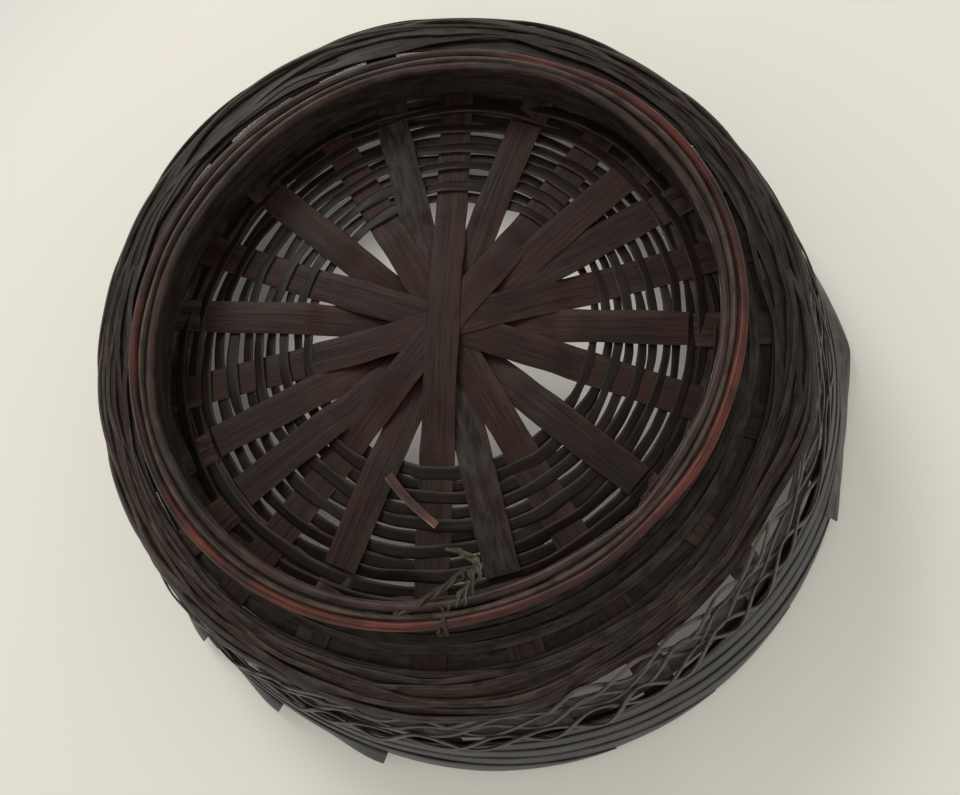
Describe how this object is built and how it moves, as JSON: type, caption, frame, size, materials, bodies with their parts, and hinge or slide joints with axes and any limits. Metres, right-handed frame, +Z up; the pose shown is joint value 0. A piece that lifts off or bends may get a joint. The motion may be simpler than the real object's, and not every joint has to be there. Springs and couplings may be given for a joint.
{
  "type": "woven fruit basket",
  "caption": "Round shallow basket of dark split bamboo on a foot ring, with a star of flat strips woven into an open base, an open lattice wall and a slanting splint border.",
  "frame": {"origin": "on the basket's axis, at the level of the surface that the foot hoop stands on", "axes": "+Z up out of the mouth, along the axis of the foot, the bowl and the rim; X and Y across"},
  "size_m": [0.2297, 0.2288, 0.0755],
  "materials": {
    "stake_bamboo": "satin, stained reddish brown, fine grain",
    "weaver_bamboo": "satin, stained nearly black",
    "border_bamboo": "satin, stained nearly black, greyed by wear",
    "hoop_bamboo": "satin, stained dark brown, streaked lengthwise",
    "red_cane": "satin, worn reddish",
    "grey_cane": "satin, worn greyish",
    "lashing_fibre": "twisted frayed bast fibre"
  },
  "bodies": {
    "root": {"base_stake_1": "stake_bamboo", "base_stake_2": "stake_bamboo", "base_stake_3": "stake_bamboo", "base_stake_4": "stake_bamboo", "base_stake_5": "stake_bamboo", "base_weaver_1": "weaver_bamboo", "base_weaver_10": "weaver_bamboo", "base_weaver_11": "weaver_bamboo", "base_weaver_2": "weaver_bamboo", "base_weaver_3": "weaver_bamboo", "base_weaver_4": "weaver_bamboo", "base_weaver_5": "weaver_bamboo", "base_weaver_6": "weaver_bamboo", "base_weaver_7": "weaver_bamboo", "base_weaver_8": "weaver_bamboo", "base_weaver_9": "weaver_bamboo", "border_splints": "border_bamboo", "cover_strip_1": "stake_bamboo", "cover_strip_2": "stake_bamboo", "cover_strip_3": "stake_bamboo", "cover_strip_4": "stake_bamboo", "cover_strip_5": "stake_bamboo", "cover_strip_6": "stake_bamboo", "edge_weaver": "weaver_bamboo", "floor_band": "weaver_bamboo", "foot_cane_inner": "grey_cane", "foot_cane_outer": "red_cane", "foot_hoop": "hoop_bamboo", "foot_lashing": "lashing_fibre", "lattice_band": "weaver_bamboo", "lattice_strand_1": "weaver_bamboo", "lattice_strand_2": "weaver_bamboo", "lattice_strand_3": "weaver_bamboo", "loose_border_splint": "border_bamboo", "loose_weaver_end": "weaver_bamboo", "rim_hoop": "hoop_bamboo", "shoulder_weaver_1": "weaver_bamboo", "shoulder_weaver_2": "weaver_bamboo", "shoulder_weaver_3": "weaver_bamboo", "shoulder_weaver_4": "weaver_bamboo", "shoulder_weaver_5": "weaver_bamboo", "side_stake_1": "stake_bamboo", "side_stake_10": "stake_bamboo", "side_stake_11": "stake_bamboo", "side_stake_12": "stake_bamboo", "side_stake_2": "stake_bamboo", "side_stake_3": "stake_bamboo", "side_stake_4": "stake_bamboo", "side_stake_5": "stake_bamboo", "side_stake_6": "stake_bamboo", "side_stake_7": "stake_bamboo", "side_stake_8": "stake_bamboo", "side_stake_9": "stake_bamboo", "wall_band_lower": "weaver_bamboo", "wall_band_upper": "weaver_bamboo"}
  },
  "joints": []
}
